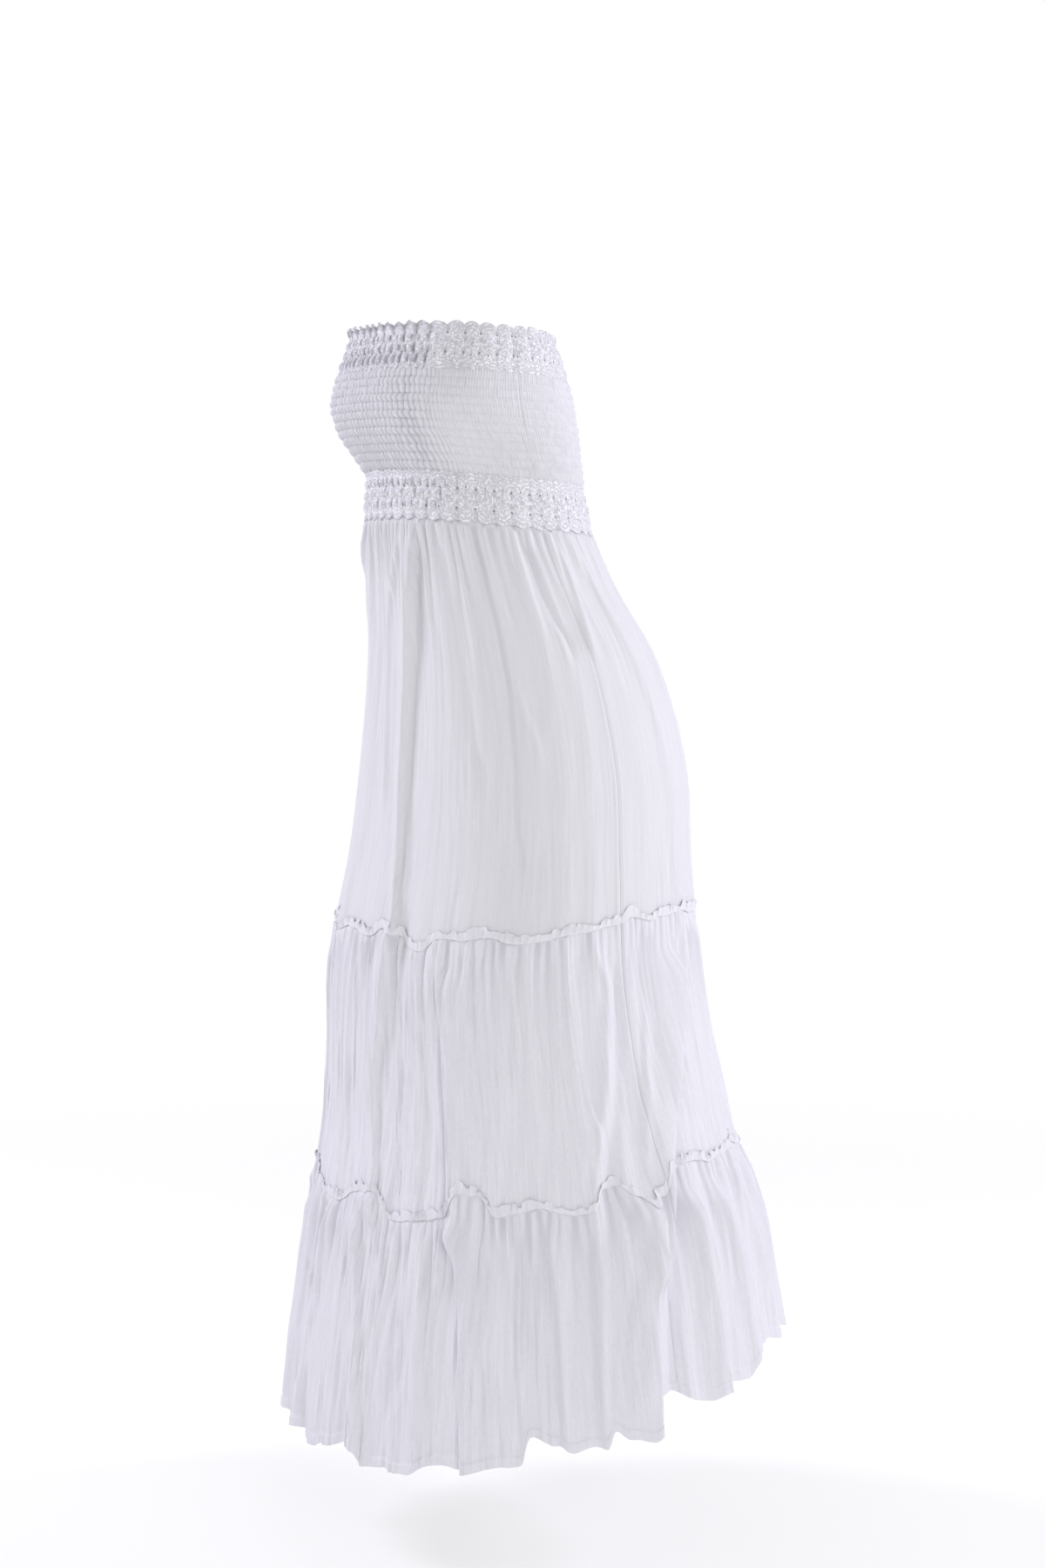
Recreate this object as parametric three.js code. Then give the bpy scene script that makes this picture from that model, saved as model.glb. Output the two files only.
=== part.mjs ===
import * as THREE from 'three';

// Strapless maxi dress of white crinkled cotton gauze, in the hollow form that it has when worn.
// Millimetres, +Z up. The front faces -Y and the wearer's left side faces +X.
// The origin is the middle of the smocked bodice, where its elastic holds on the chest.

// Cloth
const WALL = 1.6;
const GAP = 0.3;
const BACK_SQUARE = 2.15;

// Columns round one half, front or back
const SKIRT_COLUMNS = 72;
const BODICE_COLUMNS = 28;

// Smocked bodice: rows of elastic with a puffed rib of cloth between each two
const SMOCKED_RIBS = 12;
const RIB_HEIGHT = 1.4;
const GATHER_SHARE = 0.3;

// Lace bands on the bodice, one along the top edge and one over the waist seam
const LACE_THICKNESS = 1.8;
const TOP_LACE_WIDTH = 50;
const WAIST_LACE_WIDTH = 56;

// Raw-edged frills that stand on the two skirt seams
const FRILL_THICKNESS = 1.2;
const FRILL_HEIGHT = 10;
const FRILL_LEAN = 1.2;
const FRILL_FLARE = 4;

// How much lower the hem hangs for each millimetre that a fold stands out
const HEM_DROOP = 1.1;

// Gathers of the skirt, in whole waves round the dress
const SKIRT_WAVES = 36;
const FRILL_WAVES = 30;

// Levels round the dress. The skirt rises to the back, where it hangs from the seat.
const LEVELS = {
  top: { front: 104, side: 98, back: 90 },
  waist: { front: -104, side: -108, back: -113 },
  seamOne: { front: -535, side: -513, back: -505 },
  seamTwo: { front: -820, side: -774, back: -762 },
  hem: { front: -1082, side: -994, back: -958 },
};

// How much higher a seam or the hem lies at each angle, in degrees from the front. Each step
// is where a fold lies over the next one.
const RISES = new Map([
  [LEVELS.seamOne, [
    [-180, 0], [-160, 4], [-140, -4], [-118, 3], [-100, -4], [-80, 5], [-62, -6], [-50, 3], [-38, -8],
    [-26, 6], [-18, -6], [-11, 2], [-1, -3], [5, 9], [12, 2], [16, -8], [21, -11], [28, 3], [36, 0],
    [46, 2], [55, -7], [70, -6], [79, -3], [89, -1], [93, 6], [102, -1], [116, 1], [129, -5],
    [150, 4], [165, -3], [180, 0],
  ]],
  [LEVELS.seamTwo, [
    [-180, 0], [-165, 8], [-150, -7], [-132, 9], [-115, -4], [-98, 12], [-88, -14], [-74, 8],
    [-58, -6], [-44, -9], [-36, 16], [-28, 10], [-20, -10], [-8, -7], [2, 13], [6, 18], [9, 5],
    [12, -9], [21, -7], [32, -1], [35, 22], [40, 20], [46, -4], [57, -2], [69, -16], [73, -13],
    [76, 5], [80, 5], [84, -8], [86, -21], [89, -12], [92, 11], [99, 10], [115, 1], [127, 10],
    [145, -6], [162, 7], [180, 0],
  ]],
  [LEVELS.hem, [
    [-180, 0], [-150, 6], [-120, -8], [-95, 8], [-80, -12], [-62, 10], [-48, -6], [-30, -10],
    [-16, -4], [-7, -12], [-2, 0], [8, 16], [11, -6], [22, -6], [30, 3], [42, -6], [51, -2],
    [54, 15], [60, 2], [66, -10], [71, -13], [73, -1], [76, -12], [80, -16], [83, -8], [86, 10],
    [97, -12], [100, -5], [111, -12], [116, 10], [131, 2], [150, -6], [165, 6], [180, 0],
  ]],
]);

// Horizontal sections of the dress. Half is half the width, front and back are the reaches
// from the origin, and square is the roundness of the front, where 2 is an ellipse.
const SECTIONS = [
  { z: 112, half: 129, front: 89, back: 75, square: 2.3 },
  { z: 84, half: 133, front: 92, back: 92, square: 2.45 },
  { z: 50, half: 137, front: 104, back: 107, square: 2.65 },
  { z: 20, half: 139, front: 110, back: 117, square: 2.75 },
  { z: -8, half: 138, front: 103, back: 122, square: 2.65 },
  { z: -30, half: 136, front: 89, back: 125, square: 2.45 },
  { z: -55, half: 133, front: 75, back: 128, square: 2.3 },
  { z: -108, half: 135, front: 77, back: 139, square: 2.3 },
  { z: -160, half: 147, front: 73, back: 161, square: 2.3 },
  { z: -250, half: 168, front: 69, back: 218, square: 2.35 },
  { z: -360, half: 193, front: 73, back: 246, square: 2.4 },
  { z: -460, half: 208, front: 83, back: 247, square: 2.4 },
  { z: -570, half: 225, front: 103, back: 255, square: 2.35 },
  { z: -740, half: 252, front: 106, back: 285, square: 2.3 },
  { z: -860, half: 276, front: 123, back: 322, square: 2.25 },
  { z: -970, half: 298, front: 140, back: 339, square: 2.2 },
  { z: -1100, half: 322, front: 152, back: 362, square: 2.15 },
];

// Height of the gather waves at each level, from a crest or a trough to the middle
const GATHERS = [
  { z: -100, height: 1.4 },
  { z: -125, height: 2.6 },
  { z: -240, height: 1.2 },
  { z: -480, height: 1.2 },
  { z: -560, height: 2.4 },
  { z: -740, height: 3.0 },
  { z: -840, height: 3.6 },
  { z: -1100, height: 3.6 },
];

// Main folds of the wearer's left half. At is the angle from the front where the fold starts,
// lean its turn on the way down, width its half width in degrees and rise its height.
// It starts at the height from, is whole at full and dies away at the height to.
// The right half has similar ones, a little turned and lower.
const FOLDS = [
  { at: 19, lean: -12, width: 4.0, rise: 9, from: -115, full: -300, to: -640 },
  { at: 104, lean: 14, width: 4.0, rise: 4, from: -118, full: -230, to: -530 },
  { at: 122, lean: 12, width: 4.5, rise: 5, from: -118, full: -250, to: -560 },
  { at: 10, lean: -4, width: 4.0, rise: 8, from: -500, full: -640, to: -900 },
  { at: 31, lean: 3, width: 4.0, rise: 6, from: -540, full: -700, to: -1000 },
  { at: 84, lean: -9, width: 4.0, rise: 6, from: -540, full: -780, to: -960 },
  { at: 112, lean: -27, width: 4.5, rise: 17, from: -560, full: -900, to: -1300 },
  { at: 3, lean: 0, width: 4.5, rise: 10, from: -780, full: -1080, to: -1300 },
  { at: 22, lean: 0, width: 4.0, rise: 13, from: -780, full: -1080, to: -1300 },
  { at: 35, lean: 1, width: 3.5, rise: 8, from: -790, full: -1080, to: -1300 },
  { at: 48, lean: 0, width: 4.0, rise: 12, from: -770, full: -1060, to: -1300 },
  { at: 63, lean: 1, width: 4.5, rise: 11, from: -770, full: -1050, to: -1300 },
  { at: 73, lean: 0, width: 3.0, rise: 7, from: -780, full: -1040, to: -1300 },
  { at: 104, lean: 1, width: 4.5, rise: 12, from: -750, full: -1000, to: -1300 },
  { at: 118, lean: 2, width: 4.5, rise: 14, from: -750, full: -990, to: -1300 },
  { at: 133, lean: 1, width: 4.0, rise: 11, from: -750, full: -990, to: -1300 },
  { at: 147, lean: 2, width: 5.0, rise: 13, from: -750, full: -980, to: -1300 },
  { at: 163, lean: 1, width: 4.5, rise: 12, from: -750, full: -980, to: -1300 },
  { at: 177, lean: 0, width: 4.0, rise: 8, from: -750, full: -980, to: -1300 },
];
const FOLD_FADE = 120;
const RIGHT_TURN = 5;
const RIGHT_RISE = 0.9;

const radians = (degrees) => THREE.MathUtils.degToRad(degrees);

function smooth(share) {
  return THREE.MathUtils.smoothstep(share, 0, 1);
}

// A value from a table whose rows run downwards, on a smooth curve through the rows
function fromTable(table, column, z) {
  const last = table.length - 1;
  if (z >= table[0].z) return table[0][column];
  if (z <= table[last].z) return table[last][column];
  const below = table.findIndex((row) => row.z < z);
  const rows = [below - 2, below - 1, below, below + 1].map((i) => table[Math.min(Math.max(i, 0), last)]);
  const span = rows[2].z - rows[1].z;
  const share = (z - rows[1].z) / span;
  const slopeIn = (rows[2][column] - rows[0][column]) / (rows[2].z - rows[0].z) * span;
  const slopeOut = (rows[3][column] - rows[1][column]) / (rows[3].z - rows[1].z) * span;
  const square = share * share;
  const cube = square * share;
  return (2 * cube - 3 * square + 1) * rows[1][column] + (cube - 2 * square + share) * slopeIn
    + (3 * square - 2 * cube) * rows[2][column] + (cube - square) * slopeOut;
}

// The rise of a seam or the hem at an angle, on straight lines between its rows
function riseAt(level, angle) {
  const rows = RISES.get(level);
  if (!rows) return 0;
  const at = THREE.MathUtils.euclideanModulo(THREE.MathUtils.radToDeg(angle) + 180, 360) - 180;
  const next = Math.max(1, rows.findIndex((row) => row[0] >= at));
  const [start, from] = rows[next - 1];
  const [end, to] = rows[next];
  return THREE.MathUtils.mapLinear(at, start, end, from, to);
}

function levelAt(level, angle) {
  const middle = (level.front + level.back) / 2;
  const tilt = (level.front - level.back) / 2;
  const side = level.side - middle;
  return middle + tilt * Math.cos(angle) + side * Math.sin(angle) ** 2 + riseAt(level, angle);
}

// How sharply the section turns its corners at an angle, as the power of its sine and cosine
function powerAt(angle, z) {
  return 2 / (Math.cos(angle) > 0 ? fromTable(SECTIONS, 'square', z) : BACK_SQUARE);
}

function signedPower(value, power) {
  return Math.sign(value) * Math.abs(value) ** power;
}

// A point of the smooth dress, before gathers and folds
function smoothPoint(angle, z) {
  const power = powerAt(angle, z);
  const front = fromTable(SECTIONS, 'front', z);
  const back = fromTable(SECTIONS, 'back', z);
  const x = fromTable(SECTIONS, 'half', z) * signedPower(Math.sin(angle), power);
  const y = (back - front) / 2 - (back + front) / 2 * signedPower(Math.cos(angle), power);
  return new THREE.Vector2(x, y);
}

// The level direction that faces away from the body
function outwards(angle, z) {
  const step = 0.02;
  const along = smoothPoint(angle + step, z).sub(smoothPoint(angle - step, z));
  return new THREE.Vector2(along.y, -along.x).normalize();
}

// The lift of one main fold, on the wearer's left where side is 1 and on the right where it is -1
function foldLift(fold, side, angle, z) {
  const grown = THREE.MathUtils.clamp((fold.from - z) / (fold.from - fold.full), 0, 1);
  const left = THREE.MathUtils.clamp((z - fold.to) / FOLD_FADE, 0, 1);
  const turned = side < 0 ? RIGHT_TURN : 0;
  const centre = side * radians(fold.at + turned + fold.lean * grown);
  const away = Math.atan2(Math.sin(angle - centre), Math.cos(angle - centre)) / radians(fold.width);
  const rise = side < 0 ? fold.rise * RIGHT_RISE : fold.rise;
  return rise * smooth(grown) * smooth(left) * Math.exp(-away * away);
}

// How far the gathers and the main folds of the skirt lift its cloth
function skirtLift(angle, z) {
  if (z > GATHERS[0].z) return 0;
  const uneven = 0.75 + 0.25 * Math.sin(5 * angle + 1);
  const spread = 1.3 * Math.sin(3 * angle) + 0.8 * Math.sin(7 * angle + 2);
  let lift = fromTable(GATHERS, 'height', z) * uneven * Math.cos(SKIRT_WAVES * angle + spread);
  for (const fold of FOLDS) {
    lift += foldLift(fold, 1, angle, z) + foldLift(fold, -1, angle, z);
  }
  return lift;
}

// A point of the cloth, moved out from its smooth form
function clothPoint(angle, z, out) {
  const flat = smoothPoint(angle, z).addScaledVector(outwards(angle, z), out);
  return new THREE.Vector3(flat.x, flat.y, z);
}

// The angle where a half ends, half a gap before the side seam
function endAngle(z, half) {
  const depth = (fromTable(SECTIONS, 'front', z) + fromTable(SECTIONS, 'back', z)) / 2;
  const power = half === 'front' ? 2 / fromTable(SECTIONS, 'square', z) : 2 / BACK_SQUARE;
  return Math.acos((GAP / 2 / depth) ** (1 / power));
}

// A closed wall over one half of the dress. Rows run downwards, and a row gives the height, the
// outer lift and the inner lift at an angle. A row with no inner lift has outer points alone.
function wall(half, columns, rows) {
  const centre = half === 'front' ? 0 : Math.PI;
  const corners = [];
  const faces = [];
  const grid = (side, chosen) => chosen.map((row) => {
    const line = [];
    for (let i = 0; i <= columns; i += 1) {
      const share = 2 * i / columns - 1;
      const nominal = centre + share * Math.PI / 2;
      const angle = centre + share * endAngle(row.z(nominal), half);
      const point = clothPoint(angle, row.z(nominal), row[side](nominal, i));
      line.push(corners.length / 3);
      corners.push(point.x, point.y, point.z);
    }
    return line;
  });
  const kept = rows.map((row, j) => j).filter((j) => rows[j].inner);
  const outer = grid('outer', rows);
  const inner = grid('inner', kept.map((j) => rows[j]));
  const quad = (a, b, c, d) => faces.push(a, b, c, a, c, d);
  for (let i = 0; i < columns; i += 1) {
    for (let j = 0; j + 1 < outer.length; j += 1) {
      quad(outer[j][i], outer[j + 1][i], outer[j + 1][i + 1], outer[j][i + 1]);
    }
    for (let j = 0; j + 1 < inner.length; j += 1) {
      quad(inner[j][i], inner[j][i + 1], inner[j + 1][i + 1], inner[j + 1][i]);
    }
    quad(outer[0][i], outer[0][i + 1], inner[0][i + 1], inner[0][i]);
    const low = outer.length - 1;
    const lowInner = inner.length - 1;
    quad(outer[low][i], inner[lowInner][i], inner[lowInner][i + 1], outer[low][i + 1]);
  }
  for (const end of [0, columns]) {
    const turn = (a, b, c) => (end === 0 ? faces.push(a, b, c) : faces.push(a, c, b));
    for (let j = 0; j + 1 < inner.length; j += 1) {
      const middle = Math.floor((kept[j] + kept[j + 1]) / 2);
      for (let k = kept[j]; k < kept[j + 1]; k += 1) {
        turn(outer[k][end], inner[k < middle ? j : j + 1][end], outer[k + 1][end]);
      }
      turn(inner[j][end], inner[j + 1][end], outer[middle][end]);
    }
  }
  const geometry = new THREE.BufferGeometry();
  geometry.setAttribute('position', new THREE.Float32BufferAttribute(corners, 3));
  geometry.setIndex(faces);
  geometry.computeVertexNormals();
  return geometry;
}

// Heights between two levels, as rows at the given shares of the way down
function between(upper, lower, shares, makeRow) {
  return shares.map((share) => {
    const z = (angle) => THREE.MathUtils.lerp(upper(angle), lower(angle), share);
    return { z, ...makeRow(z, share) };
  });
}

function evenShares(count) {
  return Array.from({ length: count + 1 }, (_, i) => i / count);
}

const cotton = { color: 0xe4e2f0, roughness: 0.92, metalness: 0 };
const laceCotton = { color: 0xe2e0ee, roughness: 0.85, metalness: 0 };

const dress = new THREE.Group();

function addPiece(name, geometry, finish) {
  const mesh = new THREE.Mesh(geometry, new THREE.MeshStandardMaterial({ ...finish }));
  mesh.name = name;
  dress.add(mesh);
}

const topEdge = (angle) => levelAt(LEVELS.top, angle);
const underTopLace = (angle) => topEdge(angle) - TOP_LACE_WIDTH;
const waistSeam = (angle) => levelAt(LEVELS.waist, angle) + GAP / 2;
const overWaistLace = (angle) => waistSeam(angle) + WAIST_LACE_WIDTH;

// Smocked bodice: plain under the lace, ribbed between the rows of elastic
function bodiceRows() {
  const plain = () => ({ outer: () => 0, inner: () => -WALL });
  const ribbed = (z, share) => {
    const rib = Math.round(share * SMOCKED_RIBS * 2) % 2;
    const puff = (i) => 1 - GATHER_SHARE * (i % 2);
    return { outer: (angle, i) => rib * RIB_HEIGHT * puff(i), inner: rib ? null : () => -WALL };
  };
  const shares = evenShares(SMOCKED_RIBS * 2);
  return [
    ...between(topEdge, underTopLace, [0, 0.5], plain),
    ...between(underTopLace, overWaistLace, shares, ribbed),
    ...between(overWaistLace, waistSeam, [0.5, 1], plain),
  ];
}

// Lace band, laid on the plain cloth of the bodice
function laceRows(upper, lower) {
  return between(upper, lower, [0, 0.5, 1], () => ({
    outer: () => GAP + LACE_THICKNESS,
    inner: () => GAP,
  }));
}

// Gathered tier of the skirt, between the seam above it and the seam or hem below it
function tierRows(upper, lower, shares) {
  const edgeUp = (angle) => levelAt(upper, angle) - GAP / 2;
  const edgeDown = (angle) => {
    const level = levelAt(lower, angle);
    return lower === LEVELS.hem ? level - HEM_DROOP * skirtLift(angle, level) : level + GAP / 2;
  };
  return between(edgeUp, edgeDown, shares, (z) => ({
    outer: (angle) => skirtLift(angle, z(angle)),
    inner: (angle) => skirtLift(angle, z(angle)) - WALL,
  }));
}

// Frill on a seam: sewn along its lower edge, with its raw upper edge flared in waves
function frillRows(seam) {
  const upper = (angle) => levelAt(seam, angle) + FRILL_HEIGHT;
  const lower = (angle) => levelAt(seam, angle);
  return between(upper, lower, [0, 1], (z, share) => {
    const flare = (angle) => FRILL_LEAN + FRILL_FLARE * (0.5 - 0.5 * Math.cos(FRILL_WAVES * angle));
    const inner = (angle) => skirtLift(angle, z(angle)) + GAP + (1 - share) * flare(angle);
    return { outer: (angle) => inner(angle) + FRILL_THICKNESS, inner };
  });
}

const TIERS = [
  { name: 'tier_1', upper: LEVELS.waist, lower: LEVELS.seamOne, shares: [0, 0.1, 0.32, 0.62, 1] },
  { name: 'tier_2', upper: LEVELS.seamOne, lower: LEVELS.seamTwo, shares: [0, 0.3, 0.65, 1] },
  { name: 'tier_3', upper: LEVELS.seamTwo, lower: LEVELS.hem, shares: [0, 0.3, 0.65, 1] },
];

const topLace = laceRows(topEdge, underTopLace);
const waistLace = laceRows(overWaistLace, waistSeam);
for (const half of ['front', 'back']) {
  addPiece(`bodice_${half}`, wall(half, BODICE_COLUMNS, bodiceRows()), cotton);
  addPiece(`lace_top_${half}`, wall(half, BODICE_COLUMNS, topLace), laceCotton);
  addPiece(`lace_waist_${half}`, wall(half, BODICE_COLUMNS, waistLace), laceCotton);
  for (const tier of TIERS) {
    const rows = tierRows(tier.upper, tier.lower, tier.shares);
    addPiece(`${tier.name}_${half}`, wall(half, SKIRT_COLUMNS, rows), cotton);
  }
  addPiece(`frill_1_${half}`, wall(half, SKIRT_COLUMNS, frillRows(LEVELS.seamOne)), cotton);
  addPiece(`frill_2_${half}`, wall(half, SKIRT_COLUMNS, frillRows(LEVELS.seamTwo)), cotton);
}

export default dress;
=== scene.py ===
import collections
import math
import bpy
import numpy as np
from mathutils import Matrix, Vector


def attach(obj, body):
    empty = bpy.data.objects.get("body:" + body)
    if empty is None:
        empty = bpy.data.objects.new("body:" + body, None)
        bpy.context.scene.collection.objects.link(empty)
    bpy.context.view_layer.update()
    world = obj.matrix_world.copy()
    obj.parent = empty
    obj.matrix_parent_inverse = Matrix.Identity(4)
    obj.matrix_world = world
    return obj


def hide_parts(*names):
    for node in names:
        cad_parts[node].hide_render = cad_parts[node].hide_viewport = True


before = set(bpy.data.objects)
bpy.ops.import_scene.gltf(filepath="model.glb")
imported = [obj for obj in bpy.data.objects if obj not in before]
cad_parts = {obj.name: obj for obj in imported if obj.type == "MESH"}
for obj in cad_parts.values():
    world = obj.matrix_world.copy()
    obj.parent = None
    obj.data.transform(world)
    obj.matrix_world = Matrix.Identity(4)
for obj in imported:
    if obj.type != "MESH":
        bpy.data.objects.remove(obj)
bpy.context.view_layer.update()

# The studio: a plain pale floor under the hem that fades into the white surround, and three large
# soft lights, before the dress, behind it and over the camera. The camera stands level with the
# waist, a little before the wearer's left side.
CAMERA_TURN = math.radians(60)
CAMERA_DISTANCE = 3.30
CAMERA_HEIGHT = -0.1355
CAMERA_ASIDE = 0.0749
CAMERA_DOWN = math.radians(4.27)
CAMERA_LENS = 71.0
FLOOR_HEIGHT = -1.20
FLOOR_REACH = 40.0
FLOOR_SHADED = 1.1
FLOOR_FADED = 3.0
FLOOR_GLOW = 0.6
PAPER_PATCHES = 60.0
AIM_HEIGHT = -0.35
SURROUND_LIGHT = 0.50


def linear(code):
    """The linear colour of an sRGB hex value, with alpha 1."""
    parts = [int(code[i:i + 2], 16) / 255 for i in (1, 3, 5)]
    return (*[c / 12.92 if c <= 0.04045 else ((c + 0.055) / 1.055) ** 2.4 for c in parts], 1.0)


def add_node(tree, kind, inputs=None, **settings):
    """A new node with its settings, and with a value or another node's output for each input."""
    made = tree.nodes.new(kind)
    for name, value in settings.items():
        setattr(made, name, value)
    for name, value in (inputs or {}).items():
        if isinstance(value, bpy.types.NodeSocket):
            tree.links.new(value, made.inputs[name])
        else:
            made.inputs[name].default_value = value
    return made


def new_material(name):
    """An empty node material and its tree."""
    material = bpy.data.materials.new(name)
    material.use_nodes = True
    material.node_tree.nodes.clear()
    return material, material.node_tree


scene = bpy.context.scene
scene.view_settings.view_transform = "Standard"

sideways = Vector((math.cos(CAMERA_TURN), math.sin(CAMERA_TURN), 0))
towards = Vector((math.sin(CAMERA_TURN), -math.cos(CAMERA_TURN), 0))
camera = bpy.data.objects.new("camera", bpy.data.cameras.new("camera"))
camera.data.lens = CAMERA_LENS
camera.location = towards * CAMERA_DISTANCE + sideways * CAMERA_ASIDE + Vector((0, 0, CAMERA_HEIGHT))
looking = -towards * math.cos(CAMERA_DOWN) - Vector((0, 0, math.sin(CAMERA_DOWN)))
camera.rotation_mode = "QUATERNION"
camera.rotation_quaternion = looking.to_track_quat("-Z", "Y")
scene.collection.objects.link(camera)
scene.camera = camera

world = bpy.data.worlds.new("studio")
world.use_nodes = True
tree = world.node_tree
tree.nodes.clear()
seen = add_node(tree, "ShaderNodeLightPath").outputs["Is Camera Ray"]
lit = add_node(tree, "ShaderNodeBackground", {"Color": linear("#fdfdff"), "Strength": SURROUND_LIGHT})
bare = add_node(tree, "ShaderNodeBackground", {"Color": linear("#ffffff"), "Strength": 1.0})
surround = add_node(tree, "ShaderNodeMixShader", {0: seen, 1: lit.outputs[0], 2: bare.outputs[0]})
add_node(tree, "ShaderNodeOutputWorld", {"Surface": surround.outputs[0]})
scene.world = world

StudioLight = collections.namedtuple("StudioLight", "name turn distance height size watts colour")
for row in [
    StudioLight("light_front", -50, 3.0, 1.5, 1.1, 93, "#f3f2ff"),
    StudioLight("light_back", 160, 3.0, 1.2, 1.1, 70, "#f3f2ff"),
    StudioLight("light_camera", 74, 4.0, 0.3, 1.8, 55.5, "#fffefd"),
]:
    lamp = bpy.data.lights.new(row.name, "AREA")
    lamp.shape = "SQUARE"
    lamp.size = row.size
    lamp.energy = row.watts
    lamp.color = linear(row.colour)[:3]
    light = bpy.data.objects.new(row.name, lamp)
    turn = math.radians(row.turn)
    light.location = (row.distance * math.sin(turn), -row.distance * math.cos(turn), row.height)
    light.rotation_mode = "QUATERNION"
    light.rotation_quaternion = (Vector((0, 0, AIM_HEIGHT)) - light.location).to_track_quat("-Z", "Y")
    scene.collection.objects.link(light)

# Matt white studio paper: an even pale floor, in very faint broad patches, that takes a soft shadow
# near the dress.
studio_paper, tree = new_material("studio_paper")
grain = add_node(tree, "ShaderNodeTexNoise", {"Scale": PAPER_PATCHES, "Detail": 3.0})
tint = add_node(tree, "ShaderNodeMix", {0: grain.outputs["Fac"], 6: linear("#f7f7f9"),
                                        7: linear("#fbfbfd")}, data_type="RGBA")
paper = add_node(tree, "ShaderNodeBsdfPrincipled", {"Base Color": tint.outputs[2], "Roughness": 0.95})
paper.inputs["Specular IOR Level"].default_value = 0.1
place = add_node(tree, "ShaderNodeNewGeometry").outputs["Position"]
away = add_node(tree, "ShaderNodeVectorMath", {0: place, 1: (0, 0, FLOOR_HEIGHT)}, operation="DISTANCE")
faded = add_node(tree, "ShaderNodeMapRange", {"Value": away.outputs["Value"], "From Min": FLOOR_SHADED,
                                              "From Max": FLOOR_FADED, "To Min": FLOOR_GLOW},
                 interpolation_type="SMOOTHSTEP")
glow = add_node(tree, "ShaderNodeEmission", {"Color": linear("#ffffff"), "Strength": 1.0})
floor_shade = add_node(tree, "ShaderNodeMixShader", {0: faded.outputs[0], 1: paper.outputs[0],
                                                     2: glow.outputs[0]})
add_node(tree, "ShaderNodeOutputMaterial", {"Surface": floor_shade.outputs[0]})

corners = [(x, y, FLOOR_HEIGHT) for x, y in ((-1, -1), (1, -1), (1, 1), (-1, 1))]
mesh = bpy.data.meshes.new("floor")
mesh.from_pydata([(x * FLOOR_REACH, y * FLOOR_REACH, z) for x, y, z in corners], [], [(0, 1, 2, 3)])
mesh.materials.append(studio_paper)
floor = bpy.data.objects.new("floor", mesh)
scene.collection.objects.link(floor)


# The bodice: a strapless tube of cotton gauze, gathered on rows of elastic thread sewn inside it,
# so that the cloth puffs out between the rows in small upright folds. It is cut as a front and a
# back, joined at the side seams. The whole dress is drawn on the level sections below, in mm.
MM = 0.001

# A section has a height, a half width, depths before and behind the middle and the squareness of its
# front. A level has heights at the front, sides and back, and small rises at turns in degrees.
Section = collections.namedtuple("Section", "z half front back square")
SECTIONS = [
    Section(112, 129, 89, 75, 2.30),
    Section(84, 133, 92, 92, 2.45),
    Section(50, 137, 104, 107, 2.65),
    Section(20, 139, 110, 117, 2.75),
    Section(-8, 138, 103, 122, 2.65),
    Section(-30, 136, 89, 125, 2.45),
    Section(-55, 133, 75, 128, 2.30),
    Section(-108, 135, 77, 139, 2.30),
    Section(-160, 147, 73, 161, 2.30),
    Section(-250, 168, 69, 218, 2.35),
    Section(-360, 193, 73, 246, 2.40),
    Section(-460, 208, 83, 247, 2.40),
    Section(-570, 225, 103, 255, 2.35),
    Section(-740, 252, 106, 285, 2.30),
    Section(-860, 276, 123, 322, 2.25),
    Section(-970, 298, 140, 339, 2.20),
    Section(-1100, 322, 152, 362, 2.15),
]
BACK_SQUARE = 2.15
Level = collections.namedtuple("Level", "front side back rises", defaults=[((-180, 0), (180, 0))])
TOP = Level(104, 98, 90)
WAIST = Level(-98, -110, -117)
SEAM_GAP = 0.3
TOP_LACE = 50
TOP_INSET = 5
WAIST_LACE = 51

HALVES = {"front": 0.0, "back": math.pi}
SMOCK_ROWS = 12
SMOCK_ROW_SAMPLES = 7
SMOCK_SAMPLES = SMOCK_ROWS * SMOCK_ROW_SAMPLES
SMOCK_COLUMNS = 640
SMOCK_SEED = 11
SMOCK_SWAY = 0.22
SMOCK_STAGGER = 0.14
GATHER_FRONT = 7.8
GATHER_SIDE = 3.1
BUST_HOLLOW_TURN = 29
BUST_HOLLOW_WIDTH = 6
BUST_HOLLOW_DEPTH = 2.0
BODICE_WALL = 1.6
BODICE_INNER_STEP = 6
FORM_STEP = 0.02
HALVES_APART = 0.0004


def column(table, name, z):
    """A column of a table at heights z, on a smooth curve through its rows."""
    heights = np.array([row.z for row in table][::-1], float)
    values = np.array([getattr(row, name) for row in table][::-1], float)
    before = np.maximum(np.arange(len(values)) - 1, 0)
    after = np.minimum(np.arange(len(values)) + 1, len(values) - 1)
    slopes = (values[after] - values[before]) / (heights[after] - heights[before])
    z = np.clip(z, heights[0], heights[-1])
    low = np.clip(np.searchsorted(heights, z) - 1, 0, len(heights) - 2)
    span = heights[low + 1] - heights[low]
    t = (z - heights[low]) / span
    return ((2 * t**3 - 3 * t**2 + 1) * values[low] + (t**3 - 2 * t**2 + t) * span * slopes[low]
            + (3 * t**2 - 2 * t**3) * values[low + 1] + (t**3 - t**2) * span * slopes[low + 1])


def turned(turn, centre):
    """The turn from a centre in degrees, from -180 to 180."""
    return (np.degrees(turn) - centre + 180) % 360 - 180


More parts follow.
